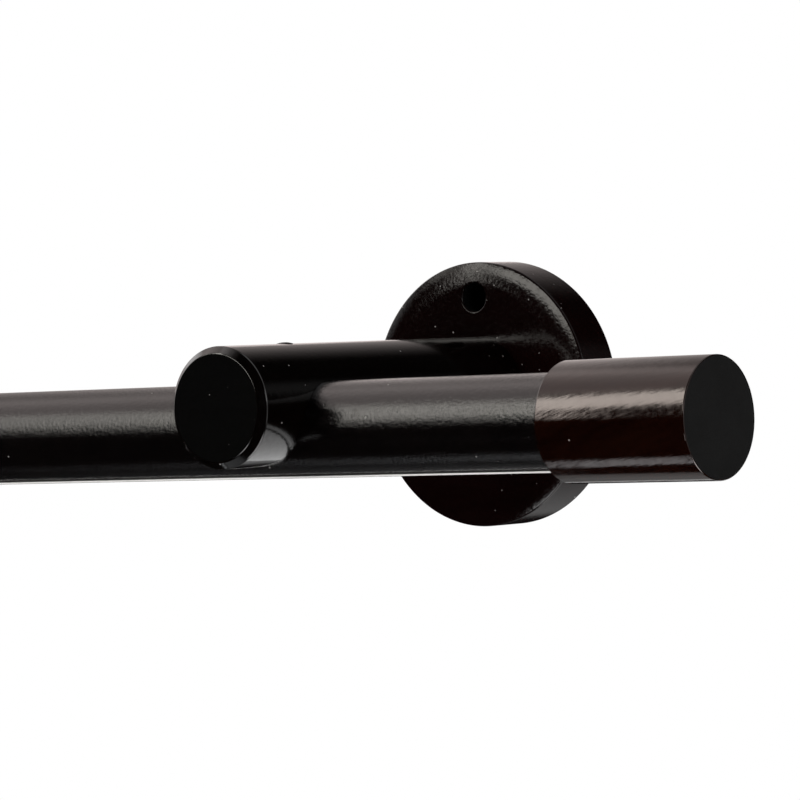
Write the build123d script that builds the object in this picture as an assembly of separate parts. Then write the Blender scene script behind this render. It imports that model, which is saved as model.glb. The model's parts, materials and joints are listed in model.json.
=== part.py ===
from build123d import *

import os
from math import sqrt

# A round wooden curtain rod with a glider track let into its underside.
# Two turned wall brackets carry it, and a turned cap closes each end.
# Origin: on the wall, midway between the brackets, level with the arms' axes.
# +X runs along the rod, +Y points into the wall, +Z is up. Sizes are in millimetres.

# Rod
rod_diameter = 28.0
rod_projection = 109.0
bracket_spacing = 500.0

# Glider track, flush with the rod's lowest line
track_width = 10.2
track_height = 7.5
track_wall = 1.0
track_slot = 5.6
track_corner = 0.4
track_side_clearance = 0.1
track_end_clearance = 0.5

# End cap
finial_diameter = 34.5
finial_length = 50.0
finial_overhang = 102.0
finial_socket_depth = 22.0
finial_socket_clearance = 0.15
finial_edge = 0.6

# Bracket arm
arm_diameter = 35.5
arm_projection = 141.0
arm_chamfer = 2.0
arm_bore_clearance = 0.1
arm_mouth_width = 19.4

# Wall rose
rose_diameter = 81.5
rose_thickness = 17.0
rose_crown_width = 8.0
rose_crown_drop = 1.2
rose_corner = 0.4
rose_back_chamfer = 0.6
wall_hole_circle = 60.0
wall_hole_count = 3
wall_hole_diameter = 5.0
wall_hole_mouth_diameter = 9.0
wall_hole_mouth_depth = 10.0

# Screw from the back of the rose into the arm
arm_screw_head_diameter = 10.0
arm_screw_head_height = 3.0
arm_screw_head_recess = 0.6
arm_screw_shank_diameter = 5.0
arm_screw_bite = 32.0
arm_screw_tip = 6.0
arm_screw_cross_span = 5.0

# Screw from the top of the arm into the rod
rod_screw_head_diameter = 5.0
rod_screw_head_height = 1.6
rod_screw_head_crown = 0.45
rod_screw_shank_diameter = 3.0
rod_screw_bite = 10.0
rod_screw_tip = 3.5
rod_screw_cross_span = 2.6

# Cross recess in a screw head, as shares of its span
cross_blade_share = 0.24
cross_depth_share = 0.38

# Room round a screw in its drilled hole
screw_clearance = 0.05

rod_radius = rod_diameter / 2
arm_radius = arm_diameter / 2
rose_radius = rose_diameter / 2
finial_radius = finial_diameter / 2
bore_radius = rod_radius + arm_bore_clearance
socket_radius = rod_radius + finial_socket_clearance

# The bore breaks through the arm's underside by the width of the mouth,
# which sets how far the rod lies below the arm's axis.
rod_drop = arm_radius - sqrt(bore_radius**2 - (arm_mouth_width / 2) ** 2)

bracket_x = bracket_spacing / 2
finial_x = bracket_x + finial_overhang
rod_length = 2 * (finial_x + finial_socket_depth)
track_length = 2 * (finial_x - track_end_clearance)
groove_width = track_width + 2 * track_side_clearance
groove_ceiling = track_height - rod_radius
wood_over_rod = arm_radius + rod_drop - rod_radius
rod_screw_length = wood_over_rod + rod_screw_bite
arm_screw_length = rose_thickness + arm_screw_bite - arm_screw_head_recess

UPWARD = (Align.CENTER, Align.CENTER, Align.MIN)
HANGING = (Align.CENTER, Align.MAX)
SIDES = {"left": -1, "right": 1}


def on_rod(x=0.0):
    """Place on the rod's axis at x, turned as the row."""
    return Pos(x, -rod_projection, -rod_drop)


def on_bracket(side):
    """Place at a bracket's foot: local Z leaves the wall and local Y is up."""
    return Pos(side * bracket_x, 0, 0) * Rot(90, 0, 0)


def rod_section_plane():
    """Section plane across the rod: local X runs to the wall and local Y is up."""
    return Plane((0, -rod_projection, -rod_drop), x_dir=(0, 1, 0), z_dir=(1, 0, 0))


def cross_recess(span):
    """Cutter for a cross recess, with its mouth at Z = 0 and its depth along +Z."""
    blade = Box(span, span * cross_blade_share, span * cross_depth_share, align=UPWARD)
    return blade + Rot(0, 0, 90) * blade


def turned(points):
    """Solid of revolution about Z from a half outline of (radius, height) points."""
    outline = make_face(Polyline(*[(radius, 0, height) for radius, height in points], close=True))
    return revolve(outline, Axis.Z)


def make_rod():
    """Round rod with the track's groove along its underside and a pilot hole for each rod screw."""
    groove = Pos(0, groove_ceiling) * Rectangle(groove_width, rod_diameter, align=HANGING)
    section = Circle(rod_radius) - groove
    rod = extrude(rod_section_plane() * section, amount=rod_length / 2, both=True)
    pilot_radius = rod_screw_shank_diameter / 2 + screw_clearance
    pilot_depth = rod_screw_bite + screw_clearance
    pilot = Cylinder(pilot_radius, rod_radius, align=UPWARD)
    for side in SIDES.values():
        rod -= on_rod(side * bracket_x) * Pos(0, 0, rod_radius - pilot_depth) * pilot
    return rod


def make_track():
    """Drawn channel with two inturned lips, open below, for gliders to hang from."""
    outer = Pos(0, groove_ceiling) * Rectangle(track_width, track_height, align=HANGING)
    outer = fillet(outer.vertices().group_by(Axis.Y)[0], track_corner)
    channel_ceiling = groove_ceiling - track_wall
    channel_width = track_width - 2 * track_wall
    channel_height = track_height - 2 * track_wall
    channel = Pos(0, channel_ceiling) * Rectangle(channel_width, channel_height, align=HANGING)
    slot = Pos(0, channel_ceiling) * Rectangle(track_slot, track_height, align=HANGING)
    section = outer - channel - slot
    return extrude(rod_section_plane() * section, amount=track_length / 2, both=True)


def make_finial(side):
    """Turned cap with a blind socket that slips over the rod's end."""
    cap = Cylinder(finial_radius, finial_length, align=UPWARD)
    cap = fillet(cap.edges().filter_by(GeomType.CIRCLE), finial_edge)
    cap -= Cylinder(socket_radius, finial_socket_depth, align=UPWARD)
    return on_rod(side * finial_x) * Rot(0, side * 90, 0) * cap


def make_arm(side):
    """Turned arm, cross-bored for the rod so that the bore opens through the underside."""
    arm = Pos(0, 0, rose_thickness) * Cylinder(arm_radius, arm_projection - rose_thickness, align=UPWARD)
    arm = chamfer(arm.edges().group_by(Axis.Z)[-1], arm_chamfer)
    arm -= Pos(0, -rod_drop, rod_projection) * Rot(0, 90, 0) * Cylinder(bore_radius, 2 * arm_diameter)
    arm -= Pos(0, arm_radius, rod_projection) * Rot(90, 0, 0) * rod_screw_hole()
    pilot_radius = arm_screw_shank_diameter / 2 + screw_clearance
    arm -= Pos(0, 0, rose_thickness) * Cylinder(pilot_radius, arm_screw_bite + screw_clearance, align=UPWARD)
    return on_bracket(side) * arm


def make_rose(side):
    """Turned wall plate with a crowned rim, drilled for wall screws and for the arm's screw."""
    crown_start = (rose_radius - rose_crown_width, 0, rose_thickness)
    corner = (rose_radius, 0, rose_thickness - rose_crown_drop)
    crown = TangentArc(crown_start, corner, tangent=(1, 0, 0))
    flank = Polyline(corner, (rose_radius, 0, 0), (0, 0, 0), (0, 0, rose_thickness), crown_start)
    rose = revolve(make_face(flank + crown), Axis.Z)
    outer_edges = rose.edges().filter_by(GeomType.CIRCLE).sort_by(SortBy.RADIUS)[-2:].sort_by(Axis.Z)
    rose = fillet(outer_edges[1], rose_corner)
    rose = chamfer(rose.edges().group_by(Axis.Z)[0], rose_back_chamfer)
    mouth_height = rose_thickness - wall_hole_mouth_depth
    for place in PolarLocations(wall_hole_circle / 2, wall_hole_count, start_angle=90):
        rose -= place * Cylinder(wall_hole_diameter / 2, rose_thickness, align=UPWARD)
        mouth = Cylinder(wall_hole_mouth_diameter / 2, wall_hole_mouth_depth, align=UPWARD)
        rose -= place * Pos(0, 0, mouth_height) * mouth
    return on_bracket(side) * (rose - arm_screw_hole())


def arm_screw_hole():
    """Countersunk clearance hole through the rose, from its back at Z = 0."""
    head_radius = arm_screw_head_diameter / 2 + screw_clearance
    shank_radius = arm_screw_shank_diameter / 2 + screw_clearance
    cone_end = arm_screw_head_recess + arm_screw_head_height
    return turned([
        (0, 0),
        (head_radius, 0),
        (head_radius, arm_screw_head_recess),
        (shank_radius, cone_end),
        (shank_radius, rose_thickness),
        (0, rose_thickness),
    ])


def rod_screw_hole():
    """Countersunk clearance hole from the arm's top line, at Z = 0, down into the bore."""
    head_radius = rod_screw_head_diameter / 2 + screw_clearance
    shank_radius = rod_screw_shank_diameter / 2 + screw_clearance
    return turned([
        (0, -rod_screw_head_height),
        (head_radius, -rod_screw_head_height),
        (head_radius, 0),
        (shank_radius, rod_screw_head_height),
        (shank_radius, arm_radius),
        (0, arm_radius),
    ])


def make_arm_screw(side):
    """Countersunk wood screw that draws the arm against the rose."""
    head_radius = arm_screw_head_diameter / 2
    shank_radius = arm_screw_shank_diameter / 2
    screw = turned([
        (0, 0),
        (head_radius, 0),
        (shank_radius, arm_screw_head_height),
        (shank_radius, arm_screw_length - arm_screw_tip),
        (0, arm_screw_length),
    ])
    screw -= cross_recess(arm_screw_cross_span)
    return on_bracket(side) * Pos(0, 0, arm_screw_head_recess) * screw


def make_rod_screw(side):
    """Raised countersunk screw that keeps the rod from turning or sliding in the arm."""
    head_radius = rod_screw_head_diameter / 2
    shank_radius = rod_screw_shank_diameter / 2
    crown = ThreePointArc((head_radius, 0, 0), (head_radius / sqrt(2), 0, -rod_screw_head_crown / 2),
                          (0, 0, -rod_screw_head_crown))
    flank = Polyline(
        (0, 0, -rod_screw_head_crown),
        (0, 0, rod_screw_length),
        (shank_radius, 0, rod_screw_length - rod_screw_tip),
        (shank_radius, 0, rod_screw_head_height),
        (head_radius, 0, 0),
    )
    screw = revolve(make_face(flank + crown), Axis.Z)
    screw -= Pos(0, 0, -rod_screw_head_crown) * cross_recess(rod_screw_cross_span)
    return on_bracket(side) * Pos(0, arm_radius, rod_projection) * Rot(90, 0, 0) * screw


def make_pieces():
    """Every piece of the curtain rod by name."""
    pieces = {"rod": make_rod(), "track": make_track()}
    for name, side in SIDES.items():
        pieces[f"{name}_finial"] = make_finial(side)
        pieces[f"{name}_bracket_arm"] = make_arm(side)
        pieces[f"{name}_wall_rose"] = make_rose(side)
        pieces[f"{name}_arm_screw"] = make_arm_screw(side)
        pieces[f"{name}_rod_screw"] = make_rod_screw(side)
    return pieces


os.makedirs("parts", exist_ok=True)
for piece_name, piece in make_pieces().items():
    export_step(piece, f"parts/{piece_name}.step")
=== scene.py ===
import json
import logging
import math
from abc import ABC, abstractmethod
from collections.abc import Callable
from dataclasses import dataclass, field
from enum import Enum
from functools import cache

import bpy
from mathutils import Matrix, Vector


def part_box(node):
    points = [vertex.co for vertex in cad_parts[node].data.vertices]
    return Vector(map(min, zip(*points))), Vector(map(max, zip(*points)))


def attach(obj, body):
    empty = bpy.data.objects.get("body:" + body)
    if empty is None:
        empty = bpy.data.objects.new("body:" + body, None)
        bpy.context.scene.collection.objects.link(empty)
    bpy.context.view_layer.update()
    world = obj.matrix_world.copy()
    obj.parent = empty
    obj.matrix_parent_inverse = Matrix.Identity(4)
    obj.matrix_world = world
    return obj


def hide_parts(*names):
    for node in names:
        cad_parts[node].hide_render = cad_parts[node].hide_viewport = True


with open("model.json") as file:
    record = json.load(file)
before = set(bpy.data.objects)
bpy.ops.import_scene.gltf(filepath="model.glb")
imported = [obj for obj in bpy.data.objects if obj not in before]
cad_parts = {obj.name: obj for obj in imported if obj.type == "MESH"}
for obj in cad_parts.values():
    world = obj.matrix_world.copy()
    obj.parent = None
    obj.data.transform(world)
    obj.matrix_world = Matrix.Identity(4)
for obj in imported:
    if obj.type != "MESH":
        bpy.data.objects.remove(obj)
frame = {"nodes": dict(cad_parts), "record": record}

LOG = logging.getLogger("curtain_rod")
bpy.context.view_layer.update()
BODY = "root"

MM = 0.001
TOUCH = 0.01 * MM
MERGE = 0.002 * MM
UPRIGHT = 0.99
CREASE_DEG = 32.0
AREA_WEIGHT = 100
ROUND_SEGMENTS = 256

Object = bpy.types.Object
Material = bpy.types.Material
Tree = bpy.types.NodeTree
Node = bpy.types.Node
Socket = bpy.types.NodeSocket
Colour = tuple[float, float, float]
Stretch = tuple[float, float, float]
Range = tuple[float, float]
Fill = float | tuple[float, ...] | Socket
EdgeTest = Callable[[Vector, Vector], bool]
FaceTest = Callable[[Vector, Vector], bool]

WHITE = (1.0, 1.0, 1.0)
WARM_WHITE = (1.035, 1.0, 0.93)
ROSY_WHITE = (1.13, 1.0, 0.97)
COOL_WHITE = (0.97, 1.0, 1.03)
DUST = (0.5, 0.49, 0.48)

RISE = (0.0, 1.0)
FALL = (1.0, 0.0)
NOISE_RANGE = (0.3, 0.7)
TONE_RANGE = (0.35, 0.65)
STAIN_RANGE = (0.4, 0.7)
FIGURE_SHARE = 0.6

# A Mix node's sockets for colours, by number, because those for other data have the same names
MIX_INPUTS = (0, 6, 7)
MIX_RESULT = 2


class Side(Enum):
    """The two ends of the rod, by the words that start their pieces' names."""

    LEFT = "left"
    RIGHT = "right"

    def node(self, piece: str) -> str:
        """Name of this side's piece or CAD node."""
        return f"{self.value}_{piece}"


class Element(Enum):
    """What is picked on a mesh, by Blender's name of the select mode."""

    EDGES = "EDGE"
    FACES = "FACE"


class Along(Enum):
    """Row axes that a turned piece can run along, as Euler turns of a Z-up primitive."""

    X = (0.0, math.pi / 2, 0.0)
    Y = (math.pi / 2, 0.0, 0.0)
    Z = (0.0, 0.0, 0.0)

    def level(self, point: Vector) -> float:
        """How far along this axis a point lies."""
        return getattr(point, self.name.lower())

    def reach(self, point: Vector, centre: Vector) -> float:
        """Distance of a point from the line through a centre along this axis.

        Args:
            point: The point.
            centre: A point on the line.

        Returns:
            The distance in metres.
        """
        offset = point - centre
        setattr(offset, self.name.lower(), 0.0)
        return offset.length

    def ring(self, centre: Vector, level: float, radius: float) -> EdgeTest:
        """Test for the edges of a ring about a line along this axis.

        Args:
            centre: A point on the line.
            level: Where the ring lies along the line.
            radius: Radius of the ring.

        Returns:
            The test.
        """
        def on_ring(*ends: Vector) -> bool:
            """True where both ends of an edge lie on the ring."""
            return all(abs(self.level(end) - level) < TOUCH
                       and abs(self.reach(end, centre) - radius) < TOUCH for end in ends)

        return on_ring


@dataclass(frozen=True)
class Box:
    """Corners of a CAD node at rest, in metres."""

    low: Vector
    high: Vector

    @classmethod
    def of(cls, node: str) -> "Box":
        """Box of the CAD node with that name."""
        return cls(*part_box(node))

    @property
    def centre(self) -> Vector:
        """Middle of the box."""
        return (self.low + self.high) / 2

    @property
    def size(self) -> Vector:
        """Extent of the box along each axis."""
        return self.high - self.low

    def runs_along(self, a: Vector, b: Vector) -> bool:
        """True for an edge that goes more than half the box's way along X."""
        return abs(a.x - b.x) > self.size.x / 2


class Bench:
    """Modelling steps on one piece at a time, as done by hand."""

    @staticmethod
    def clear() -> None:
        """Deselect everything, so that an operator acts on its own piece only."""
        if bpy.context.object and bpy.context.object.mode != "OBJECT":
            bpy.ops.object.mode_set(mode="OBJECT")
        bpy.ops.object.select_all(action="DESELECT")

    @staticmethod
    def take(piece: Object) -> None:
        """Make one piece the only selected and active object.

        Args:
            piece: The object to work on.
        """
        Bench.clear()
        piece.select_set(True)
        bpy.context.view_layer.objects.active = piece

    @staticmethod
    def settle(piece: Object, name: str) -> Object:
        """Name a piece and move its place, turn and scale into its mesh.

        Args:
            piece: The object that ends at the origin.
            name: Name of the object and of its mesh.

        Returns:
            The piece.
        """
        piece.name = name
        piece.data.name = name
        Bench.take(piece)
        bpy.ops.object.transform_apply(location=True, rotation=True, scale=True)
        return piece

    @staticmethod
    def turned(name: str, radius: float, length: float, centre: Vector, along: Along,
               segments: int = ROUND_SEGMENTS, end_radius: float | None = None) -> Object:
        """Add a round or conical blank along one of the row's axes.

        Args:
            name: Name of the new object.
            radius: Radius in metres. On a cone it is the lower end's, which is the +Y end along Y.
            length: Length along the axis in metres.
            centre: Middle of the blank.
            along: Axis that the blank runs along.
            segments: Number of sides.
            end_radius: Radius of a cone's other end.

        Returns:
            The blank, with its place in its mesh.
        """
        Bench.clear()
        bpy.ops.mesh.primitive_cone_add(
            vertices=segments, radius1=radius, radius2=radius if end_radius is None else end_radius,
            depth=length, location=centre, rotation=along.value)
        return Bench.settle(bpy.context.object, name)

    @staticmethod
    def block(name: str, low: Vector, high: Vector) -> Object:
        """Add a rectangular blank between two corners.

        Args:
            name: Name of the new object.
            low: Lowest corner.
            high: Highest corner.

        Returns:
            The blank, with its place in its mesh.
        """
        Bench.clear()
        bpy.ops.mesh.primitive_cube_add(size=1.0, location=(low + high) / 2)
        bpy.context.object.scale = high - low
        return Bench.settle(bpy.context.object, name)

    @staticmethod
    def copied(piece: Object, name: str, move: Matrix) -> Object:
        """Copy a piece, with a mesh of its own, to another place.

        Args:
            piece: The piece to copy.
            name: Name of the copy.
            move: Way from the piece to its copy.

        Returns:
            The copy, with its place in its mesh.
        """
        copy = piece.copy()
        copy.data = piece.data.copy()
        bpy.context.collection.objects.link(copy)
        copy.matrix_world = move
        return Bench.settle(copy, name)

    @staticmethod
    def cut(piece: Object, cutter: Object) -> None:
        """Cut one solid out of another and remove the cutter.

        Args:
            piece: The piece that is cut.
            cutter: The solid that is taken away.
        """
        Bench.take(piece)
        boolean = piece.modifiers.new("cut", "BOOLEAN")
        boolean.operation = "DIFFERENCE"
        boolean.solver = "EXACT"
        boolean.object = cutter
        bpy.ops.object.modifier_apply(modifier=boolean.name)
        bpy.data.objects.remove(cutter)

    @staticmethod
    def _pick_none(piece: Object, element: Element) -> None:
        """Clear what is selected on a piece's mesh and return to object mode.

        Args:
            piece: The piece to work on.
            element: What is picked next.
        """
        Bench.take(piece)
        bpy.ops.object.mode_set(mode="EDIT")
        bpy.ops.mesh.select_mode(type=element.value)
        bpy.ops.mesh.select_all(action="DESELECT")
        bpy.ops.object.mode_set(mode="OBJECT")

    @staticmethod
    def _pick_all(piece: Object) -> None:
        """Select a piece's whole mesh and stay in edit mode.

        Args:
            piece: The piece to work on.
        """
        Bench.take(piece)
        bpy.ops.object.mode_set(mode="EDIT")
        bpy.ops.mesh.select_all(action="SELECT")

    @staticmethod
    def pick_faces(piece: Object, wanted: FaceTest) -> None:
        """Select the faces that a test accepts and stay in edit mode.

        Args:
            piece: The piece to select on.
            wanted: Test of a face by its middle and its normal.
        """
        Bench._pick_none(piece, Element.FACES)
        for face in piece.data.polygons:
            face.select = wanted(face.center, face.normal)
        bpy.ops.object.mode_set(mode="EDIT")

    @staticmethod
    def soften(piece: Object, wanted: EdgeTest, width: float, steps: int) -> None:
        """Bevel the edges that a test accepts.

        Args:
            piece: The piece to bevel.
            wanted: Test of an edge by its two end points.
            width: Width of the bevel in metres.
            steps: Steps across the bevel; one step makes a chamfer.
        """
        Bench._pick_none(piece, Element.EDGES)
        points = piece.data.vertices
        for edge in piece.data.edges:
            edge.select = wanted(*(points[end].co for end in edge.vertices))
        found = any(edge.select for edge in piece.data.edges)
        bpy.ops.object.mode_set(mode="EDIT")
        if found:
            bpy.ops.mesh.bevel(offset_type="OFFSET", offset=width, segments=steps, affect="EDGES")
        else:
            LOG.warning("%s has no edge to soften by %.2f mm", piece.name, width / MM)
        bpy.ops.object.mode_set(mode="OBJECT")

    @staticmethod
    def score(piece: Object, level: Vector) -> None:
        """Cut a level line round a piece without parting it.

        Args:
            piece: The piece to work on.
            level: A point at the line's height.
        """
        Bench._pick_all(piece)
        bpy.ops.mesh.bisect(plane_co=level, plane_no=(0.0, 0.0, 1.0))
        bpy.ops.object.mode_set(mode="OBJECT")

    @staticmethod
    def push(piece: Object, wanted: FaceTest, travel: Vector) -> None:
        """Extrude the faces that a test accepts.

        Args:
            piece: The piece to work on.
            wanted: Test of a face by its middle and its normal.
            travel: Way that the faces go.
        """
        Bench.pick_faces(piece, wanted)
        bpy.ops.mesh.extrude_region_move(TRANSFORM_OT_translate={"value": travel})
        bpy.ops.object.mode_set(mode="OBJECT")

    @staticmethod
    def finished(piece: Object) -> Object:
        """Merge doubled points, turn every face outwards and shade smooth between the creases.

        Args:
            piece: The piece to finish.

        Returns:
            The piece.
        """
        Bench._pick_all(piece)
        bpy.ops.mesh.remove_doubles(threshold=MERGE)
        bpy.ops.mesh.normals_make_consistent(inside=False)
        bpy.ops.object.mode_set(mode="OBJECT")
        bpy.ops.object.shade_smooth_by_angle(angle=math.radians(CREASE_DEG))
        weighted = piece.modifiers.new("weighted", "WEIGHTED_NORMAL")
        weighted.mode = "FACE_AREA"
        weighted.weight = AREA_WEIGHT
        weighted.keep_sharp = True
        bpy.ops.object.modifier_apply(modifier=weighted.name)
        return piece

    @staticmethod
    def paint(piece: Object, finish: Material,
              other: Material | None = None, takes_other: FaceTest | None = None) -> None:
        """Give a piece one finish, or a second one on some of its faces.

        Args:
            piece: The piece to paint.
            finish: Material of the piece.
            other: Second material.
            takes_other: Test for the faces that get the second material.
        """
        piece.data.materials.clear()
        piece.data.materials.append(finish)
        if other and takes_other:
            piece.data.materials.append(other)
            for face in piece.data.polygons:
                face.material_index = int(takes_other(face.center, face.normal))


class Graph:
    """A node tree with short ways to add and join nodes."""

    def __init__(self, tree: Tree) -> None:
        """Work on the node tree of a material, a group or a world."""
        self.tree = tree

    def add(self, kind: str, settings: dict[str, object] | None = None, **inputs: Fill) -> Node:
        """Add a node, set its properties and fill or link its inputs.

        Args:
            kind: Blender's node type.
            settings: Properties of the node.
            **inputs: Values or output sockets by input name, with _ for a space.

        Returns:
            The new node.
        """
        node = self.tree.nodes.new(kind)
        for key, value in (settings or {}).items():
            setattr(node, key, value)
        for key, value in inputs.items():
            self.set(node, key.replace("_", " "), value)
        return node

    def set(self, node: Node, socket: str | int, value: Fill) -> None:
        """Fill one input with a value or link it to an output.

        Args:
            node: Node that has the input.
            socket: Name or number of the input.
            value: Plain value or output socket.
        """
        if isinstance(value, Socket):
            self.tree.links.new(value, node.inputs[socket])
        else:
            node.inputs[socket].default_value = value

    def group(self, tree: Tree, **inputs: Fill) -> Node:
        """Place a node group with its own values."""
        return self.add("ShaderNodeGroup", {"node_tree": tree}, **inputs)

    def noise(self, point: Fill, **inputs: Fill) -> Socket:
        """Noise from 0 to 1 over a point."""
        return self.add("ShaderNodeTexNoise", Vector=point, **inputs).outputs[0]

    def math(self, operation: str, *values: Fill) -> Socket:
        """Add a Math node.

        Args:
            operation: Blender's name of the operation.
            *values: Up to three values or sockets.

        Returns:
            Its output socket.
        """
        node = self.add("ShaderNodeMath", {"operation": operation})
        for number, value in enumerate(values):
            self.set(node, number, value)
        return node.outputs[0]

    def remap(self, value: Fill, given: Range, result: Range = RISE) -> Socket:
        """Map a value from one range to another with a smooth, clamped ramp.

        Args:
            value: Socket to map.
            given: Start and end of the value's range.
            result: Result at the start and at the end.

        Returns:
            The mapped socket.
        """
        node = self.add("ShaderNodeMapRange", {"interpolation_type": "SMOOTHSTEP"})
        for number, item in enumerate((value, *given, *result)):
            self.set(node, number, item)
        return node.outputs[0]

    def blend(self, factor: Fill, first: Fill, second: Fill) -> Socket:
        """Mix two colours.

        Args:
            factor: Share of the second colour.
            first: Colour or socket at 0.
            second: Colour or socket at 1.

        Returns:
            The mixed colour socket.
        """
        node = self.add("ShaderNodeMix", {"data_type": "RGBA"})
        for number, item in zip(MIX_INPUTS, (factor, first, second)):
            self.set(node, number, item)
        return node.outputs[MIX_RESULT]

    def bump(self, height: Socket) -> Socket:
        """Normal of a surface raised by a height in metres."""
        return self.add("ShaderNodeBump", Strength=1.0, Distance=1.0, Height=height).outputs["Normal"]

    def object_point(self, stretch: Stretch = (1.0, 1.0, 1.0),
                     lean_deg: float = 0.0) -> Socket:
        """Point in the row's frame, stretched along axes that may lean from X towards Z.

        Args:
            stretch: How many times longer a pattern gets along each leant axis.
            lean_deg: Angle of the first axis above X.

        Returns:
            The vector socket.
        """
        place = self.add("ShaderNodeTexCoord")
        mapping = self.add("ShaderNodeMapping", {"vector_type": "TEXTURE"}, Vector=place.outputs["Object"],
                           Rotation=(0.0, -math.radians(lean_deg), 0.0), Scale=stretch)
        return mapping.outputs["Vector"]


class Effect:
    """Surface effects that several finishes share, each a node group built once."""

    @staticmethod
    def _group(name: str, inputs: dict[str, float],
               outputs: tuple[str, ...]) -> tuple[Graph, bpy.types.NodeOutputs, Node]:
        """Start a node group with a Point input, number inputs and number outputs.

        Args:
            name: Name of the group.
            inputs: Number inputs with their defaults.
            outputs: Names of the number outputs.

        Returns:
            The graph, the sockets of its inputs and the node that takes its outputs.
        """
        tree = bpy.data.node_groups.new(name, "ShaderNodeTree")
        tree.interface.new_socket(name="Point", in_out="INPUT", socket_type="NodeSocketVector")
        for key, default in inputs.items():
            socket = tree.interface.new_socket(name=key, in_out="INPUT", socket_type="NodeSocketFloat")
            socket.default_value = default
        for key in outputs:
            tree.interface.new_socket(name=key, in_out="OUTPUT", socket_type="NodeSocketFloat")
        graph = Graph(tree)
        return graph, graph.add("NodeGroupInput").outputs, graph.add("NodeGroupOutput")

    @staticmethod
    @cache
    def orange_peel() -> Tree:
        """Sprayed lacquer's fine pebbling over a slow waviness.

        Returns:
            Group with Height in metres and Mottle from 0 to 1.
        """
        graph, given, leave = Effect._group(
            "orange_peel",
            {"Pebble Scale": 1100.0, "Pebble Height": 6e-6, "Wave Scale": 120.0, "Wave Height": 2e-5},
            ("Height", "Mottle"))
        pebble = graph.noise(given["Point"], Scale=given["Pebble Scale"], Detail=2.0, Roughness=0.55)
        wave = graph.noise(given["Point"], Scale=given["Wave Scale"], Detail=1.0, Roughness=0.4)
        fine = graph.math("MULTIPLY", pebble, given["Pebble Height"])
        graph.set(leave, "Height", graph.math("MULTIPLY_ADD", wave, given["Wave Height"], fine))
        graph.set(leave, "Mottle", pebble)
        return graph.tree

    @staticmethod
    @cache
    def dust_nibs() -> Tree:
        """Sparse specks of dust caught in the lacquer.

        Returns:
            Group with Mask from 0 to 1 and Height in metres.
        """
        graph, given, leave = Effect._group(
            "dust_nibs",
            {"Cells": 300.0, "Radius": 0.1, "Share": 0.3, "Nib Height": 1.2e-5},
            ("Mask", "Height"))
        cell = graph.add("ShaderNodeTexVoronoi", Vector=given["Point"], Scale=given["Cells"])
        shade = graph.add("ShaderNodeSeparateColor", Color=cell.outputs["Color"])
        chosen = graph.math("LESS_THAN", shade.outputs["Red"], given["Share"])
        near = graph.math("DIVIDE", cell.outputs["Distance"], given["Radius"])
        mask = graph.math("MULTIPLY", graph.remap(near, RISE, FALL), chosen)
        graph.set(leave, "Mask", mask)
        graph.set(leave, "Height", graph.math("MULTIPLY", mask, given["Nib Height"]))
        return graph.tree

    @staticmethod
    @cache
    def wood_grain() -> Tree:
        """Long fibres and pores that show through lacquer.

        Returns:
            Group with Height in metres and Tone from 0 to 1. Its Point is stretched along the grain.
        """
        graph, given, leave = Effect._group(
            "wood_grain",
            {"Fibre Scale": 420.0, "Fibre Height": 8e-6, "Figure Scale": 90.0},
            ("Height", "Tone"))
        fibre = graph.noise(given["Point"], Scale=given["Fibre Scale"], Detail=3.0, Roughness=0.6)
        figure = graph.noise(given["Point"], Scale=given["Figure Scale"], Detail=2.0, Roughness=0.5,
                             Distortion=0.6)
        graph.set(leave, "Height", graph.math("MULTIPLY", fibre, given["Fibre Height"]))
        fine = graph.math("MULTIPLY", fibre, 1.0 - FIGURE_SHARE)
        graph.set(leave, "Tone", graph.math("MULTIPLY_ADD", figure, FIGURE_SHARE, fine))
        return graph.tree


def rgba(colour: Colour) -> tuple[float, float, float, float]:
    """Opaque colour from its three parts."""
    return (*colour, 1.0)


def new_material(name: str) -> tuple[Material, Graph, Node]:
    """Start a material with a Principled shader on its output.

    Args:
        name: Name of the material.

    Returns:
        The material, its graph and its shader node.
    """
    material = bpy.data.materials.new(name)
    material.use_nodes = True
    material.node_tree.nodes.clear()
    graph = Graph(material.node_tree)
    shader = graph.add("ShaderNodeBsdfPrincipled")
    graph.add("ShaderNodeOutputMaterial", Surface=shader.outputs[0])
    return material, graph, shader


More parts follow.
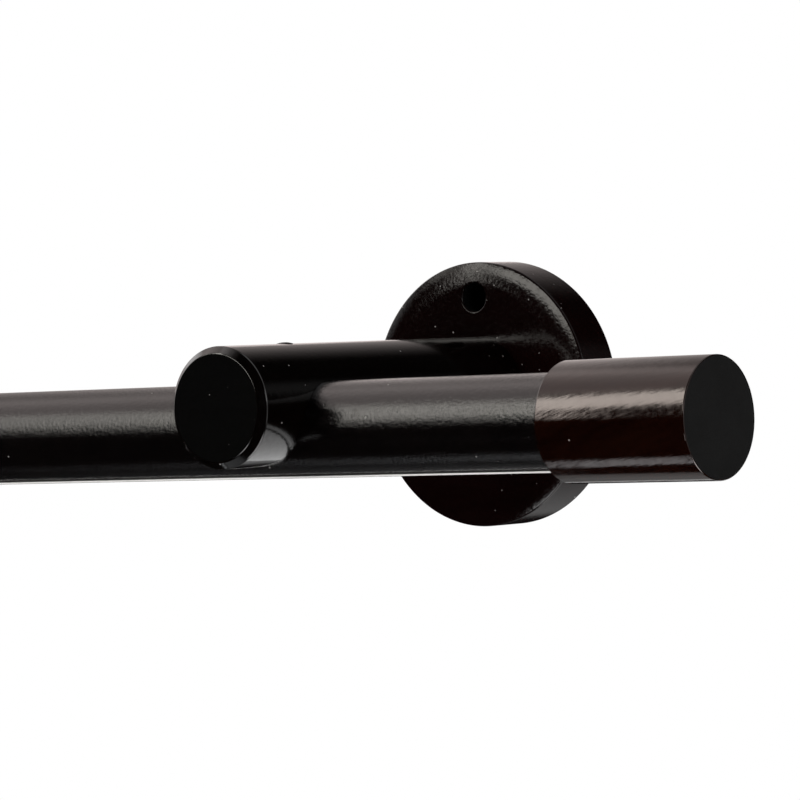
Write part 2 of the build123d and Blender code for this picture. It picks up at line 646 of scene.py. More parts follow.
@dataclass(frozen=True)
class Lacquer:
    """Sprayed lacquer over turned wood."""

    name: str
    dark: Colour
    light: Colour
    roughness: float
    roughness_spread: float
    pebble_scale: float
    pebble_height: float
    wave_scale: float
    wave_height: float
    fibre_scale: float = 420.0
    fibre_height: float = 1e-6
    specular: float = 0.5
    specular_tint: Colour = WHITE
    grain_stretch: Stretch = (8.0, 1.0, 1.0)
    grain_lean_deg: float = 0.0
    nib_share: float = 0.2

    def build(self) -> Material:
        """Make the material.

        Returns:
            Material with grain, pebbling and dust in its colour, roughness and bump.
        """
        material, graph, shader = new_material(self.name)
        point = graph.object_point()
        peel = graph.group(Effect.orange_peel(), Point=point, Pebble_Scale=self.pebble_scale,
                           Pebble_Height=self.pebble_height, Wave_Scale=self.wave_scale,
                           Wave_Height=self.wave_height)
        nibs = graph.group(Effect.dust_nibs(), Point=point, Share=self.nib_share)
        grain = graph.group(Effect.wood_grain(), Fibre_Scale=self.fibre_scale, Fibre_Height=self.fibre_height,
                            Point=graph.object_point(self.grain_stretch, self.grain_lean_deg))
        tone = graph.remap(grain.outputs["Tone"], TONE_RANGE)
        wood = graph.blend(tone, rgba(self.dark), rgba(self.light))
        graph.set(shader, "Base Color", graph.blend(nibs.outputs["Mask"], wood, rgba(DUST)))
        spread = (-self.roughness_spread, self.roughness_spread)
        mottle = graph.remap(peel.outputs["Mottle"], NOISE_RANGE, spread)
        graph.set(shader, "Roughness", graph.math("ADD", mottle, self.roughness))
        height = graph.math("ADD", peel.outputs["Height"], grain.outputs["Height"])
        graph.set(shader, "Normal", graph.bump(graph.math("ADD", height, nibs.outputs["Height"])))
        graph.set(shader, "Specular IOR Level", self.specular)
        graph.set(shader, "Specular Tint", rgba(self.specular_tint))
        return material


@dataclass(frozen=True)
class Plastic:
    """Extruded plastic with faint draw lines along the row's X axis."""

    name: str
    colour: Colour
    shade: Colour
    roughness: float = 0.42
    roughness_spread: float = 0.06
    line_scale: float = 1600.0
    line_detail: float = 2.0
    line_stretch: Stretch = (50.0, 1.0, 1.0)
    line_height: float = 2e-6

    def build(self) -> Material:
        """Make the material.

        Returns:
            Material with draw lines in its colour, roughness and bump.
        """
        material, graph, shader = new_material(self.name)
        lines = graph.noise(graph.object_point(self.line_stretch), Scale=self.line_scale,
                            Detail=self.line_detail)
        tone = graph.remap(lines, NOISE_RANGE)
        graph.set(shader, "Base Color", graph.blend(tone, rgba(self.shade), rgba(self.colour)))
        spread = (self.roughness - self.roughness_spread, self.roughness + self.roughness_spread)
        graph.set(shader, "Roughness", graph.remap(lines, NOISE_RANGE, spread))
        graph.set(shader, "Normal", graph.bump(graph.math("MULTIPLY", lines, self.line_height)))
        return material


@dataclass(frozen=True)
class Steel:
    """Plated screw steel."""

    name: str
    colour: Colour
    stain: Colour
    roughness: Range
    metallic: float = 1.0
    blotch_scale: float = 900.0
    blotch_detail: float = 3.0

    def build(self) -> Material:
        """Make the material.

        Returns:
            Material with a blotchy plating in its colour and roughness.
        """
        material, graph, shader = new_material(self.name)
        blotch = graph.noise(graph.object_point(), Scale=self.blotch_scale, Detail=self.blotch_detail)
        stained = graph.remap(blotch, STAIN_RANGE)
        graph.set(shader, "Base Color", graph.blend(stained, rgba(self.colour), rgba(self.stain)))
        graph.set(shader, "Roughness", graph.remap(blotch, NOISE_RANGE, self.roughness))
        graph.set(shader, "Metallic", self.metallic)
        return material


def matt_end(name: str, dark: float, light: float, specular: float, nib_share: float) -> Lacquer:
    """Sawn end of a turned piece, where the lacquer dries matt and grey.

    Args:
        name: Name of the finish.
        dark: Grey of the darker fibres.
        light: Grey of the lighter fibres.
        specular: Strength of its reflection.
        nib_share: Share of the specks that show.

    Returns:
        The finish.
    """
    return Lacquer(
        name, dark=(dark, dark, dark), light=(light, light, light), roughness=0.9, roughness_spread=0.04,
        pebble_scale=1500.0, pebble_height=3e-6, wave_scale=60.0, wave_height=2e-6, specular=specular,
        nib_share=nib_share)


@dataclass(frozen=True)
class Finishes:
    """Every finish on the curtain rod."""

    rod: Lacquer = Lacquer(
        "rod_satin_black", dark=(0.0012, 0.0007, 0.0008), light=(0.002, 0.0013, 0.0013), roughness=0.17,
        roughness_spread=0.03, pebble_scale=1200.0, pebble_height=9e-5, wave_scale=160.0, wave_height=1.5e-5,
        fibre_scale=1200.0, fibre_height=2e-5, grain_stretch=(1.5, 1.0, 1.0), nib_share=0.1)
    arm: Lacquer = Lacquer(
        "arm_gloss_black", dark=(0.0009, 0.0005, 0.0004), light=(0.0016, 0.0009, 0.0008), roughness=0.11,
        roughness_spread=0.02, pebble_scale=700.0, pebble_height=2.4e-5, wave_scale=90.0, wave_height=1e-5,
        grain_stretch=(1.0, 8.0, 1.0))
    rose: Lacquer = Lacquer(
        "rose_pebbled_black", dark=(0.0028, 0.0006, 0.0006), light=(0.0042, 0.001, 0.001), roughness=0.13,
        roughness_spread=0.03, pebble_scale=900.0, pebble_height=5e-5, wave_scale=90.0, wave_height=3e-5,
        specular=0.25, nib_share=0.6)
    # Matt drilled wood in the wall screw holes, with painted shade: its colour is darker than the rose's, as
    # shade deep in the holes.
    drilled: Lacquer = Lacquer(
        "drilled_matt_painted_shade", dark=(0.001, 0.001, 0.001), light=(0.002, 0.0018, 0.0016), roughness=0.8,
        roughness_spread=0.05, pebble_scale=1500.0, pebble_height=3e-5, wave_scale=60.0, wave_height=2e-6,
        specular=0.2, nib_share=0.1)
    finial: Lacquer = Lacquer(
        "finial_gloss_brown", dark=(0.003, 0.0005, 0.0002), light=(0.007, 0.0016, 0.0007), roughness=0.08,
        roughness_spread=0.02, pebble_scale=500.0, pebble_height=4e-6, wave_scale=80.0, wave_height=1.2e-5,
        fibre_scale=800.0, fibre_height=3e-5, nib_share=0.03, specular_tint=(1.0, 0.89, 0.86),
        grain_stretch=(7.0, 1.0, 1.0), grain_lean_deg=16.0)
    arm_end: Lacquer = matt_end(
        "arm_matt_end", dark=0.0007, light=0.001, specular=0.06, nib_share=0.6)
    finial_end: Lacquer = matt_end(
        "finial_matt_end", dark=0.0075, light=0.0087, specular=0.15, nib_share=0.05)
    track: Plastic = Plastic("track_white", colour=(0.9, 0.9, 0.9), shade=(0.82, 0.82, 0.82))
    # Painted shade: a dark finish laid over the white track's outside, leaving a bright line along each lower
    # corner.
    track_side: Plastic = Plastic("track_outside_painted_shade", colour=(0.03, 0.03, 0.03), shade=(0.02, 0.02, 0.02))
    arm_screw: Steel = Steel(
        "zinc_screw", colour=(0.62, 0.61, 0.58), stain=(0.42, 0.40, 0.36), roughness=(0.24, 0.42))
    rod_screw: Steel = Steel(
        "black_screw", colour=(0.012, 0.012, 0.012), stain=(0.02, 0.019, 0.018), roughness=(0.32, 0.5),
        metallic=0.6)


@dataclass
class Part(ABC):
    """Piece of the curtain rod, with the CAD node that it stands for and its material slot."""

    piece: str
    node: str
    slot: str

    def __post_init__(self) -> None:
        """Read the piece's place from the frame."""
        self.box = Box.of(self.node)

    @abstractmethod
    def build(self) -> Object:
        """Model the piece."""

    @abstractmethod
    def dress(self, piece: Object, finishes: Finishes) -> None:
        """Give the modelled piece its finish or finishes."""


@dataclass
class SidePart(Part):
    """Piece that comes on both sides, modelled on the right and copied to the left."""

    left_turn_deg: float = 0.0

    def __post_init__(self) -> None:
        """Read the right piece's place from the frame."""
        self.box = Box.of(Side.RIGHT.node(self.node))

    def way_left(self) -> Matrix:
        """Way from the right piece to its copy on the left.

        Returns:
            The move, with a turn about the upright through the piece's middle.
        """
        there = Matrix.Translation(Box.of(Side.LEFT.node(self.node)).centre)
        turn = Matrix.Rotation(math.radians(self.left_turn_deg), 4, "Z")
        return there @ turn @ Matrix.Translation(-self.box.centre)


@dataclass
class Rod(Part):
    """Round rod with the track's groove along its underside."""

    piece: str = "wooden_rod"
    node: str = "rod"
    slot: str = "rod_wood"
    arris: float = 0.25 * MM
    arris_steps: int = 3
    groove_margin: float = 0.1 * MM
    pilot_radius: float = 1.55 * MM
    pilot_segments: int = 32

    def __post_init__(self) -> None:
        """Read the places of the rod and its track from the frame."""
        super().__post_init__()
        self.track = Box.of("track")
        self.radius = self.box.size.y / 2
        self.axis = Vector((self.box.centre.x, self.box.centre.y, self.box.high.z - self.radius))

    def build(self) -> Object:
        """Turn the rod, mill the groove and drill for the rod screws.

        Returns:
            The rod.
        """
        rod = Bench.turned(self.piece, self.radius, self.box.size.x, self.axis, Along.X)
        low = Vector((self.box.low.x - self.radius, self.track.low.y - self.groove_margin,
                      self.box.low.z - self.radius))
        high = Vector((self.box.high.x + self.radius, self.track.high.y + self.groove_margin,
                       self.track.high.z))
        Bench.cut(rod, Bench.block("groove", low, high))
        Bench.soften(rod, self._is_arris, self.arris, self.arris_steps)
        for side in Side:
            screw = Box.of(side.node("rod_screw"))
            Bench.cut(rod, Bench.turned("pilot", self.pilot_radius, screw.size.z, screw.centre, Along.Z,
                                        self.pilot_segments))
        return Bench.finished(rod)

    def dress(self, piece: Object, finishes: Finishes) -> None:
        """Lacquer the whole rod."""
        Bench.paint(piece, finishes.rod.build())

    def _is_arris(self, a: Vector, b: Vector) -> bool:
        """True for the two long edges where the groove meets the rod's round."""
        at_groove = abs(abs(a.y - self.axis.y) - self.track.size.y / 2 - self.groove_margin) < TOUCH
        return at_groove and self.box.runs_along(a, b) and a.z < self.track.centre.z


@dataclass
class Track(Part):
    """Channel with inturned lips in the rod's underside."""

    piece: str = "glider_track"
    node: str = "track"
    slot: str = "track_plastic"
    wall: float = 1.0 * MM
    lip_gap: float = 5.6 * MM
    corner: float = 0.4 * MM
    corner_steps: int = 4
    lip_corner: float = 0.15 * MM
    lip_steps: int = 2
    # Heights of the bright line, between the painted shade above it and the painted shade on the rounded
    # corner below it.
    line_low: float = 0.13 * MM
    line_high: float = 0.58 * MM
    overrun: float = 5.0 * MM

    def build(self) -> Object:
        """Draw the channel.

        Returns:
            The track.
        """
        track = Bench.block(self.piece, self.box.low, self.box.high)
        Bench.soften(track, self._is_lower_corner, self.corner, self.corner_steps)
        run = Vector((self.overrun, 0.0, 0.0))
        wall = Vector((0.0, self.wall, self.wall))
        Bench.cut(track, Bench.block("channel", self.box.low - run + wall, self.box.high + run - wall))
        middle = self.box.centre
        half_gap = self.lip_gap / 2
        low = Vector((self.box.low.x - self.overrun, middle.y - half_gap, self.box.low.z - self.overrun))
        high = Vector((self.box.high.x + self.overrun, middle.y + half_gap, middle.z))
        Bench.cut(track, Bench.block("lip_gap", low, high))
        Bench.soften(track, self._is_lip, self.lip_corner, self.lip_steps)
        Bench.score(track, self.box.low + Vector((0.0, 0.0, self.line_high)))
        return Bench.finished(track)

    def dress(self, piece: Object, finishes: Finishes) -> None:
        """Paint shade over the white track's outside, but for a bright line along each lower corner."""
        Bench.paint(piece, finishes.track.build(), finishes.track_side.build(), self._is_dark)

    def _is_dark(self, middle: Vector, normal: Vector) -> bool:
        """True for the faces of the outside, which get the painted shade, but for the bright lines.

        Args:
            middle: Middle of the face.
            normal: Its normal, which doesn't matter here.

        Returns:
            Whether the face gets the painted shade.
        """
        height = middle.z - self.box.low.z
        reach = self.box.size.y / 2 - self.corner - TOUCH
        outside = abs(middle.y - self.box.centre.y) > reach or height < TOUCH
        return outside and not self.line_low < height < self.line_high

    def _is_lower_corner(self, a: Vector, b: Vector) -> bool:
        """True for the two long outer edges at the bottom."""
        return self.box.runs_along(a, b) and max(a.z, b.z) < self.box.centre.z

    def _is_lip(self, a: Vector, b: Vector) -> bool:
        """True for the long edges of the two lips."""
        at_gap = abs(abs(a.y - self.box.centre.y) - self.lip_gap / 2) < TOUCH
        return at_gap and self.box.runs_along(a, b)


@dataclass
class Finial(SidePart):
    """Turned cap with a blind socket over the rod's end."""

    piece: str = "end_cap"
    node: str = "finial"
    slot: str = "finial_wood"
    left_turn_deg: float = 180.0
    socket_clearance: float = 0.15 * MM
    socket_depth: float = 22.0 * MM
    end_edge: float = 0.35 * MM
    inner_edge: float = 0.5 * MM
    edge_steps: int = 4
    rod: Rod = field(default_factory=Rod)

    def __post_init__(self) -> None:
        """Read the cap's place from the frame."""
        super().__post_init__()
        self.radius = self.box.size.z / 2

    def build(self) -> Object:
        """Turn the cap, sink its socket and ease its edges.

        Returns:
            The finial.
        """
        middle = self.box.centre
        cap = Bench.turned(Side.RIGHT.node(self.piece), self.radius, self.box.size.x, middle, Along.X)
        self._sink_socket(cap)
        for level, width in ((self.box.high.x, self.end_edge), (self.box.low.x, self.inner_edge)):
            Bench.soften(cap, Along.X.ring(middle, level, self.radius), width, self.edge_steps)
        return Bench.finished(cap)

    def dress(self, piece: Object, finishes: Finishes) -> None:
        """Give the flat end a finish of its own."""
        Bench.paint(piece, finishes.finial.build(), finishes.finial_end.build(),
                    lambda middle, normal: abs(middle.x - self.box.high.x) < TOUCH)

    def _sink_socket(self, cap: Object) -> None:
        """Inset the inner end and push it in to the socket's depth.

        Args:
            cap: Solid blank of the finial.
        """
        Bench.pick_faces(cap, lambda middle, normal: abs(middle.x - self.box.low.x) < TOUCH)
        wall = self.radius - self.rod.radius - self.socket_clearance
        bpy.ops.mesh.inset(thickness=wall, use_even_offset=True)
        inward = Vector((self.socket_depth, 0.0, 0.0))
        bpy.ops.mesh.extrude_region_move(TRANSFORM_OT_translate={"value": inward})
        bpy.ops.object.mode_set(mode="OBJECT")


@dataclass
class BracketArm(SidePart):
    """Turned arm, cross-bored for the rod so that the bore opens below."""

    piece: str = "turned_arm"
    node: str = "bracket_arm"
    slot: str = "bracket_wood"
    chamfer: float = 2.0 * MM
    chamfer_ease: float = 0.3 * MM
    ease_steps: int = 3
    bore_clearance: float = 0.1 * MM
    screw_clearance: float = 0.05 * MM
    rod_screw_cone: float = 1.6 * MM
    rod_screw_shank_radius: float = 1.55 * MM
    arm_screw_shank_radius: float = 2.55 * MM
    overrun: float = 2.0 * MM
    hole_segments: int = 48
    rod: Rod = field(default_factory=Rod)

    def __post_init__(self) -> None:
        """Read the arm's place from the frame."""
        super().__post_init__()
        self.radius = self.box.size.x / 2
        self.front = self.box.low.y

    def build(self) -> Object:
        """Turn the arm, chamfer its front and bore it.

        Returns:
            The bracket arm.
        """
        middle = self.box.centre
        arm = Bench.turned(Side.RIGHT.node(self.piece), self.radius, self.box.size.y, middle, Along.Y)
        Bench.soften(arm, Along.Y.ring(middle, self.front, self.radius), self.chamfer, steps=1)
        Bench.soften(arm, self._is_chamfer_rim, self.chamfer_ease, self.ease_steps)
        bore_centre = Vector((middle.x, self.rod.axis.y, self.rod.axis.z))
        bore_radius = self.rod.radius + self.bore_clearance
        Bench.cut(arm, Bench.turned("bore", bore_radius, 2 * self.box.size.x, bore_centre, Along.X))
        Bench.cut(arm, self._rod_screw_hole())
        Bench.cut(arm, self._arm_screw_pilot())
        return Bench.finished(arm)

    def dress(self, piece: Object, finishes: Finishes) -> None:
        """Give the flat front a finish of its own."""
        Bench.paint(piece, finishes.arm.build(), finishes.arm_end.build(),
                    lambda middle, normal: abs(middle.y - self.front) < TOUCH)

    def _rod_screw_hole(self) -> Object:
        """Cutter for the countersunk rod screw, from the arm's top line down into the bore.

        Returns:
            The cutter.
        """
        screw = Box.of(Side.RIGHT.node("rod_screw"))
        head_radius = screw.size.x / 2 + self.screw_clearance
        middle = Vector((screw.centre.x, screw.centre.y, self.box.high.z - self.rod_screw_cone / 2))
        cutter = Bench.turned("rod_screw_hole", self.rod_screw_shank_radius, self.rod_screw_cone, middle,
                              Along.Z, self.hole_segments, end_radius=head_radius)
        Bench.push(cutter, lambda middle, normal: normal.z > UPRIGHT, Vector((0.0, 0.0, self.overrun)))
        Bench.push(cutter, lambda middle, normal: normal.z < -UPRIGHT, Vector((0.0, 0.0, -self.radius)))
        return cutter

    def _arm_screw_pilot(self) -> Object:
        """Cutter for the pilot hole in the arm's foot.

        Returns:
            The cutter.
        """
        start = Box.of(Side.RIGHT.node("arm_screw")).low.y - self.screw_clearance
        stop = self.box.high.y + self.overrun
        middle = Vector((self.box.centre.x, (start + stop) / 2, self.box.centre.z))
        return Bench.turned("arm_screw_pilot", self.arm_screw_shank_radius, stop - start, middle, Along.Y,
                            self.hole_segments)

    def _is_chamfer_rim(self, a: Vector, b: Vector) -> bool:
        """True for edges of the chamfer's two rims."""
        levels = (self.front, self.front + self.chamfer)
        return any(all(abs(end.y - level) < TOUCH for end in (a, b)) for level in levels)


@dataclass
class WallRose(SidePart):
    """Turned wall plate, drilled for wall screws and for the arm's screw."""

    piece: str = "turned_rose"
    node: str = "wall_rose"
    slot: str = "bracket_wood"
    crown_width: float = 8.0 * MM
    crown_drop: float = 1.2 * MM
    crown_steps: int = 12
    corner_ease: float = 0.4 * MM
    corner_steps: int = 3
    back_ease: float = 0.6 * MM
    back_steps: int = 2
    mouth_radius: float = 4.5 * MM
    mouth_depth: float = 10.0 * MM
    mouth_ease: float = 0.5 * MM
    mouth_steps: int = 4
    mouth_touch: float = 0.02 * MM
    screw_head_radius: float = 5.05 * MM
    screw_shank_radius: float = 2.55 * MM
    screw_recess: float = 0.6 * MM
    screw_cone: float = 3.0 * MM
    overrun: float = 2.0 * MM
    hole_segments: int = 64

    def __post_init__(self) -> None:
        """Read the plate's place and its drilling from the frame."""
        super().__post_init__()
        self.radius = self.box.size.x / 2
        self.front = self.box.low.y
        self.back = self.box.high.y
        name = Side.RIGHT.node("wall_screws")
        drilling = next(mount["dims"] for mount in frame["record"]["mounts"] if mount["name"] == name)
        self.circle_radius = drilling["pcd_mm"] / 2 * MM
        self.hole_count = drilling["count"]
        self.hole_radius = drilling["hole_r_mm"] * MM

    def build(self) -> Object:
        """Turn the plate and drill it.

        Returns:
            The wall rose.
        """
        corner = self.front + self.crown_drop
        rose = self._turned(Side.RIGHT.node(self.piece), self.radius, self.box.centre, corner, self.back,
                            ROUND_SEGMENTS)
        self._crown(rose)
        for level, width, steps in ((corner, self.corner_ease, self.corner_steps),
                                    (self.back, self.back_ease, self.back_steps)):
            Bench.soften(rose, Along.Y.ring(self.box.centre, level, self.radius), width, steps)
        for centre in self._hole_centres():
            Bench.cut(rose, self._turned("mouth", self.mouth_radius, centre, self.front - self.overrun,
                                         self.front + self.mouth_depth, self.hole_segments))
            Bench.cut(rose, self._turned("hole", self.hole_radius, centre, self.front,
                                         self.back + self.overrun, self.hole_segments))
        Bench.cut(rose, self._countersink())
        Bench.soften(rose, self._is_mouth, self.mouth_ease, self.mouth_steps)
        return Bench.finished(rose)

    def dress(self, piece: Object, finishes: Finishes) -> None:
        """Give the drilled holes a finish of their own: matt, and darker than the rose as painted shade deep
        in the holes.
        """
        Bench.paint(piece, finishes.rose.build(), finishes.drilled.build(), self._is_in_hole)

    def _turned(self, name: str, radius: float, centre: Vector, start: float, stop: float,
                segments: int) -> Object:
        """Round blank along Y between two levels.

        Args:
            name: Name of the blank.
            radius: Radius in metres.
            centre: A point on the blank's axis.
            start: Y where the blank starts.
            stop: Y where the blank ends.
            segments: Number of sides.

        Returns:
            The blank.
        """
        middle = Vector((centre.x, (start + stop) / 2, centre.z))
        return Bench.turned(name, radius, stop - start, middle, Along.Y, segments)

    def _crown(self, rose: Object) -> None:
        """Raise the front in steps along an arc that ends level with the face.

        Args:
            rose: Blank that ends at the rim's corner.
        """
        bow = (self.crown_width ** 2 + self.crown_drop ** 2) / (2 * self.crown_drop)
        tilt = math.asin(self.crown_width / bow)
        Bench.pick_faces(rose, lambda middle, normal: normal.y < -UPRIGHT)
        for step in range(self.crown_steps):
            outer = tilt * (1 - step / self.crown_steps)
            inner = tilt * (1 - (step + 1) / self.crown_steps)
            bpy.ops.mesh.inset(thickness=bow * (math.sin(outer) - math.sin(inner)),
                               depth=bow * (math.cos(inner) - math.cos(outer)))
        bpy.ops.object.mode_set(mode="OBJECT")

    def _hole_centres(self) -> list[Vector]:
        """Points on the axes of the wall screw holes, the first at the top.

        Returns:
            One point for each hole.
        """
        turns = [math.pi / 2 + 2 * math.pi * number / self.hole_count for number in range(self.hole_count)]
        return [self.box.centre + self.circle_radius * Vector((math.cos(turn), 0.0, math.sin(turn)))
                for turn in turns]

    def _countersink(self) -> Object:
        """Cutter for the arm screw, with its head at the plate's back.

        Returns:
            The cutter.
        """
        cone_middle = self.back - self.screw_recess - self.screw_cone / 2
        middle = Vector((self.box.centre.x, cone_middle, self.box.centre.z))
        cutter = Bench.turned("countersink", self.screw_head_radius, self.screw_cone, middle, Along.Y,
                              self.hole_segments, end_radius=self.screw_shank_radius)
        Bench.push(cutter, lambda middle, normal: normal.y > UPRIGHT,
                   Vector((0.0, self.screw_recess + self.overrun, 0.0)))
        Bench.push(cutter, lambda middle, normal: normal.y < -UPRIGHT, Vector((0.0, -self.box.size.y, 0.0)))
        return cutter

    def _is_in_hole(self, middle: Vector, normal: Vector) -> bool:
        """True for the faces inside of the wall screw holes.

        Args:
            middle: Middle of the face.
            normal: Its normal, which doesn't matter here.

        Returns:
            Whether the face is inside of a hole.
        """
        deep = self.front + self.mouth_ease < middle.y < self.back - TOUCH
        return deep and any(Along.Y.reach(middle, centre) < self.mouth_radius + TOUCH
                            for centre in self._hole_centres())

    def _is_mouth(self, a: Vector, b: Vector) -> bool:
        """True for edges round the mouths of the wall screw holes.

        Args:
            a: One end of the edge.
            b: Its other end.

        Returns:
            Whether the edge is one of them.
        """
        if max(a.y, b.y) - self.front >= self.mouth_ease:
            return False
        return any(all(abs(Along.Y.reach(end, centre) - self.mouth_radius) < self.mouth_touch
                       for end in (a, b)) for centre in self._hole_centres())


@dataclass
class CurtainRod:
    """The whole object: its pieces, their finishes and what they stand for."""

    finishes: Finishes = field(default_factory=Finishes)

    def build(self) -> None:
        """Model, dress and place every piece."""
        for part in (Rod(), Track()):
            self._place(self._made(part), part.node)
        for part in (Finial(), BracketArm(), WallRose()):
            right = self._made(part)
            left = Bench.copied(right, Side.LEFT.node(part.piece), part.way_left())
            for side, piece in ((Side.LEFT, left), (Side.RIGHT, right)):
                self._place(piece, side.node(part.node))
        self._dress_screws()

    def _made(self, part: Part) -> Object:
        """Model and dress one piece.

        Args:
            part: What to make.

        Returns:
            The dressed piece.
        """
        piece = part.build()
        part.dress(piece, self.finishes)
        return piece

    def _place(self, piece: Object, node: str) -> None:
        """Put a finished piece in the place of its CAD node.

        Args:
            piece: The new piece.
            node: CAD node that it stands for.
        """
        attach(piece, BODY)
        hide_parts(node)
        LOG.info("%s stands for %s with %d faces", piece.name, node, len(piece.data.polygons))

    def _dress_screws(self) -> None:
        """Give the CAD screws their plating."""
        plating = {"arm_screw": self.finishes.arm_screw.build(), "rod_screw": self.finishes.rod_screw.build()}
        for side in Side:
            for name, finish in plating.items():
                screw = frame["nodes"][side.node(name)]
                Bench.paint(screw, finish)
                LOG.info("%s keeps its CAD shape", screw.name)


@dataclass(frozen=True)
class Span:
    """Stretch of a measure with soft ends."""

    low: float
    high: float
    low_soft: float
    high_soft: float

    def window(self, graph: Graph, value: Socket) -> Socket:
        """Mask that is 1 inside the span and fades to 0 past its ends.

        Args:
            graph: Graph to build in.
            value: Measure to test.

        Returns:
            The mask.
        """
        rise = graph.remap(value, (self.low - self.low_soft, self.low + self.low_soft))
        fall = graph.remap(value, (self.high - self.high_soft, self.high + self.high_soft), FALL)
        return graph.math("MULTIPLY", rise, fall)


@dataclass(frozen=True)
class Glow:
    """Soft bright patch of the room, far from the rod.

    around is the angle round the rod's axis in degrees, from straight in front of it upwards.
    along is the X part of the direction, from -1 at the left to 1 at the right.
    lean is how many degrees the patch rises per unit of along, measured from along = 0.
    """

    name: str
    radiance: float
    around: Span
    along: Span
    lean: float = 0.0
    tint: Colour = WHITE

    def build(self, graph: Graph, around: Socket,
              along: Socket) -> Socket:
        """Light of the patch in the direction that is looked at.

        Args:
            graph: The world's graph.
            around: Angle round the rod's axis.
            along: X part of the direction.

        Returns:
            The light's colour.
        """
        upright = graph.math("MULTIPLY_ADD", along, -self.lean, around)
        mask = graph.math("MULTIPLY", self.around.window(graph, upright), self.along.window(graph, along))
        light = graph.add("ShaderNodeVectorMath", {"operation": "SCALE", "label": self.name}, Scale=mask)
        graph.set(light, 0, tuple(self.radiance * part for part in self.tint))
        return light.outputs[0]


@dataclass(frozen=True)
class Card:
    """White card that shines from below and behind on the underside of a bracket arm."""

    radiance: float = 1.05
    behind_wall: float = 0.03
    low: float = -0.30
    high: float = -0.088
    half_width: float = 0.13
    shift: float = 0.06
    spread_deg: float = 97.0

    def build(self, side: Side) -> None:
        """Stand the card upright behind the wall's plane.

        Args:
            side: Bracket that it belongs to.
        """
        foot = Box.of(side.node("wall_rose"))
        light = bpy.data.lights.new(side.node("card"), "AREA")
        light.shape = "RECTANGLE"
        light.size = 2 * self.half_width
        light.size_y = self.high - self.low
        light.spread = math.radians(self.spread_deg)
        light.energy = self.radiance * math.pi * light.size * light.size_y
        card = bpy.data.objects.new(light.name, light)
        card.location = (foot.centre.x + self.shift, foot.high.y + self.behind_wall,
                         (self.low + self.high) / 2)
        card.rotation_euler = (-math.pi / 2, 0.0, 0.0)
        card.visible_camera = False
        bpy.context.scene.collection.objects.link(card)


ROOM = (
    Glow("window seen in the rod", 0.95, Span(-94.6, -57.4, 4.0, 5.0), Span(-0.74, -0.597, 0.08, 0.004),
         lean=-170.0, tint=WARM_WHITE),
    Glow("window's far side", 2.6, Span(27.0, 60.0, 3.0, 5.0), Span(-0.77, -0.715, 0.03, 0.01),
         tint=WARM_WHITE),
    Glow("window's bright side", 8.3, Span(-94.6, -57.4, 4.0, 5.0), Span(-0.625, -0.597, 0.035, 0.004),
         lean=-170.0, tint=WARM_WHITE),
    Glow("window seen in the end cap", 7.3, Span(171.5, 195.5, 2.5, 2.5), Span(-0.597, -0.535, 0.004, 0.02),
         lean=250.0, tint=WARM_WHITE),
    Glow("window seen in the rose's rim", 7.2, Span(7.7, 19.0, 1.5, 2.0), Span(-0.545, -0.12, 0.015, 0.08),
         lean=-22.0, tint=WARM_WHITE),
    Glow("window's halo", 0.9, Span(48.0, 58.0, 3.0, 8.0), Span(-0.75, -0.4, 0.1, 0.2), tint=WARM_WHITE),
    Glow("overhead", 1.0, Span(56.0, 108.0, 8.0, 12.0), Span(-1.0, -0.35, 0.01, 0.3), tint=ROSY_WHITE),
    Glow("overhead, right", 0.6, Span(60.0, 108.0, 8.0, 12.0), Span(-0.53, -0.35, 0.02, 0.2)),
    Glow("ceiling", 0.5, Span(100.0, 180.0, 12.0, 0.5), Span(-0.645, -0.578, 0.02, 0.02), tint=ROSY_WHITE),
    Glow("far corner", 0.42, Span(95.0, 180.0, 25.0, 0.5), Span(-1.0, -0.34, 0.01, 0.38), tint=ROSY_WHITE),
    Glow("low strip", 0.45, Span(-92.0, -71.0, 2.0, 2.0), Span(-0.53, -0.1, 0.01, 0.1), tint=COOL_WHITE),
    Glow("low strip seen in the end cap", 1.8, Span(82.5, 99.0, 1.5, 1.5),
         Span(-0.592, -0.563, 0.003, 0.004), lean=300.0, tint=COOL_WHITE),
    Glow("low strip seen in the rod", 0.3, Span(-124.0, -100.0, 8.0, 5.0), Span(-0.63, -0.597, 0.045, 0.004),
         tint=COOL_WHITE),
    Glow("wall's foot", 0.36, Span(-145.0, -116.0, 14.0, 4.0), Span(-0.597, 0.1, 0.004, 0.2)),
    Glow("low lamp", 10.0, Span(-36.0, -26.0, 2.0, 2.0), Span(-0.36, -0.12, 0.04, 0.04)),
    Glow("floor behind", 0.27, Span(-165.0, -128.0, 8.0, 6.0), Span(-0.45, 0.35, 0.06, 0.1)),
    Glow("right wall", 0.09, Span(150.0, 172.0, 8.0, 4.0), Span(0.45, 0.6, 0.04, 0.02)),
    Glow("lamp underneath", 8.0, Span(-105.0, -76.0, 4.0, 4.0), Span(0.0, 0.7, 0.05, 0.1)),
    Glow("right side", 0.8, Span(-180.0, 180.0, 0.5, 0.5), Span(0.87, 1.0, 0.03, 0.01)),
    Glow("overhead, far right", 0.9, Span(82.0, 130.0, 4.0, 8.0), Span(-0.1, 1.0, 0.1, 0.01)),
    Glow("right window", 3.0, Span(15.0, 45.0, 4.0, 6.0), Span(0.81, 0.97, 0.02, 0.03)),
    Glow("left side", 1.2, Span(20.0, 150.0, 10.0, 20.0), Span(-1.0, -0.83, 0.01, 0.03)),
)


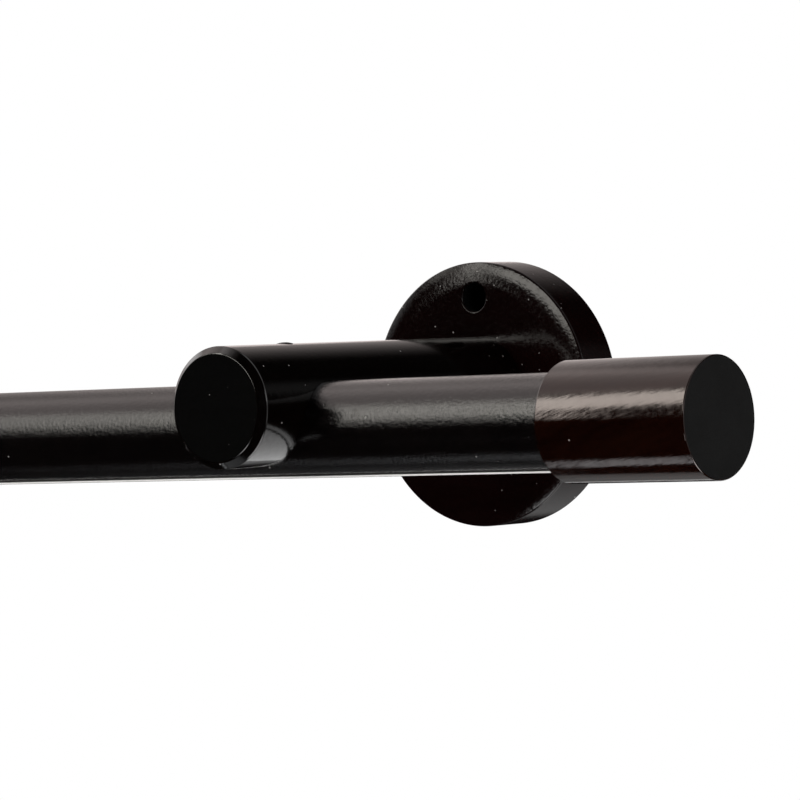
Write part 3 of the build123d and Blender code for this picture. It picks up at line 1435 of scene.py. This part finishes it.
@dataclass(frozen=True)
class Studio:
    """Plain pale room: a white surround, a pale floor and soft glows that the lacquer mirrors."""

    floor_drop: float = 6.0
    floor_radius: float = 48.0
    floor_sides: int = 96
    floor_colour: Colour = (0.86, 0.86, 0.86)
    floor_roughness: float = 0.9
    floor_glow: float = 0.62
    room_glow: float = 0.004
    glows: tuple[Glow, ...] = ROOM
    card: Card = Card()

    def build(self) -> None:
        """Make the floor, the room's glows and the cards."""
        self._floor()
        self._world()
        for side in Side:
            self.card.build(side)
        settings = bpy.context.scene.view_settings
        settings.view_transform = "Standard"
        settings.look = "None"

    def _floor(self) -> None:
        """Lay a round pale floor well under the rod."""
        Bench.clear()
        bpy.ops.mesh.primitive_circle_add(vertices=self.floor_sides, radius=self.floor_radius,
                                          fill_type="NGON", location=(0.0, 0.0, -self.floor_drop))
        floor = bpy.context.object
        floor.name = "studio_floor"
        floor.visible_glossy = False
        material, graph, shader = new_material("pale_floor")
        graph.set(shader, "Base Color", rgba(self.floor_colour))
        graph.set(shader, "Roughness", self.floor_roughness)
        graph.set(shader, "Emission Color", rgba(WHITE))
        graph.set(shader, "Emission Strength", self.floor_glow)
        floor.data.materials.append(material)

    def _world(self) -> None:
        """White surround for the eye, and a dim room with soft glows for the reflections."""
        world = bpy.data.worlds.new("studio")
        bpy.context.scene.world = world
        world.use_nodes = True
        world.node_tree.nodes.clear()
        graph = Graph(world.node_tree)
        place = graph.add("ShaderNodeTexCoord")
        direction = graph.add("ShaderNodeSeparateXYZ", Vector=place.outputs["Generated"])
        towards_front = graph.math("MULTIPLY", direction.outputs["Y"], -1.0)
        around = graph.math("DEGREES", graph.math("ARCTAN2", direction.outputs["Z"], towards_front))
        total = (self.room_glow, self.room_glow, self.room_glow)
        for glow in self.glows:
            node = graph.add("ShaderNodeVectorMath", {"operation": "ADD"})
            graph.set(node, 0, total)
            graph.set(node, 1, glow.build(graph, around, direction.outputs["X"]))
            total = node.outputs[0]
        room = graph.add("ShaderNodeBackground", Color=total, Strength=1.0)
        white = graph.add("ShaderNodeBackground", Color=rgba(WHITE), Strength=1.0)
        seen = graph.add("ShaderNodeLightPath").outputs["Is Camera Ray"]
        mix = graph.add("ShaderNodeMixShader")
        for number, socket in enumerate((seen, room.outputs[0], white.outputs[0])):
            graph.set(mix, number, socket)
        graph.add("ShaderNodeOutputWorld", Surface=mix.outputs[0])


@dataclass(frozen=True)
class PhotoCamera:
    """Camera at the photograph's angle, placed from the right bracket's foot on the wall."""

    from_bracket: tuple[float, float, float] = (0.8389, -1.1202, 0.0117)
    yaw_deg: float = 38.239
    pitch_deg: float = -0.513
    roll_deg: float = -2.357
    focal_length_mm: float = 202.45
    sensor_mm: float = 36.0

    def build(self) -> None:
        """Make the camera and set it as the scene's."""
        yaw, pitch, roll = (math.radians(x) for x in (self.yaw_deg, self.pitch_deg, self.roll_deg))
        forward = Vector((-math.sin(yaw) * math.cos(pitch), math.cos(yaw) * math.cos(pitch), math.sin(pitch)))
        right = Vector((math.cos(yaw), math.sin(yaw), 0.0))
        up = right.cross(forward)
        rolled_right = math.cos(roll) * right + math.sin(roll) * up
        rolled_up = -math.sin(roll) * right + math.cos(roll) * up
        rose = Box.of(Side.RIGHT.node("wall_rose"))
        foot = Vector((rose.centre.x, rose.high.y, rose.centre.z))
        lens = bpy.data.cameras.new("photo_camera")
        lens.lens = self.focal_length_mm
        lens.sensor_width = self.sensor_mm
        camera = bpy.data.objects.new("photo_camera", lens)
        turn = Matrix((rolled_right, rolled_up, -forward)).transposed()
        camera.matrix_world = Matrix.Translation(foot + Vector(self.from_bracket)) @ turn.to_4x4()
        bpy.context.scene.collection.objects.link(camera)
        bpy.context.scene.camera = camera


def main() -> None:
    """Build the curtain rod, its studio and its camera."""
    logging.basicConfig(level=logging.INFO, format="%(message)s")
    CurtainRod().build()
    Studio().build()
    PhotoCamera().build()


if __name__ == "__main__":
    main()
